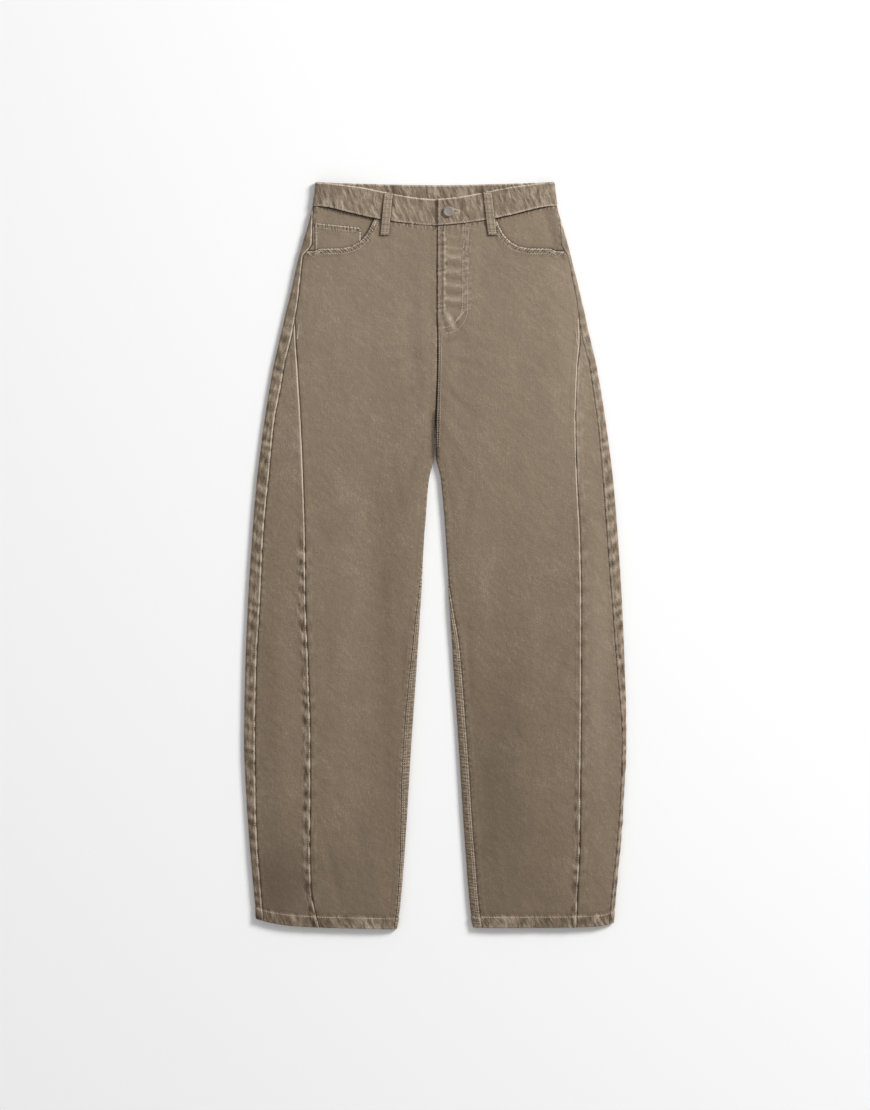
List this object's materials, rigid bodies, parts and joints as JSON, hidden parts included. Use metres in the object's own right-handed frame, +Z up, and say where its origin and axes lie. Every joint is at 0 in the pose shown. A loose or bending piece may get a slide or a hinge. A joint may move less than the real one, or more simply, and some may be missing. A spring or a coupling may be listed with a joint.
{
  "type": "barrel leg trousers",
  "caption": "High-waisted trousers in washed cotton twill with curved barrel legs and side panels, laid flat with the front up.",
  "frame": {"origin": "middle of the footprint, on the surface that the trousers lie on", "axes": "+Z up from the surface and out of the front, +Y towards the waist, +X towards the wearer's left"},
  "size_m": [0.5271, 1.03, 0.0187],
  "materials": {
    "twill": "garment-washed cotton twill, matt, faded on raised seams",
    "button_metal": "dull grey-brown metal, lightly worn"
  },
  "bodies": {
    "root": {"front_right": "twill", "front_left": "twill", "side_panel_right": "twill", "side_panel_left": "twill", "back_right": "twill", "back_left": "twill", "pocket_facing_right": "twill", "pocket_facing_left": "twill", "coin_pocket": "twill", "waistband": "twill", "belt_loop_right": "twill", "belt_loop_left": "twill", "button": "button_metal"}
  },
  "joints": []
}
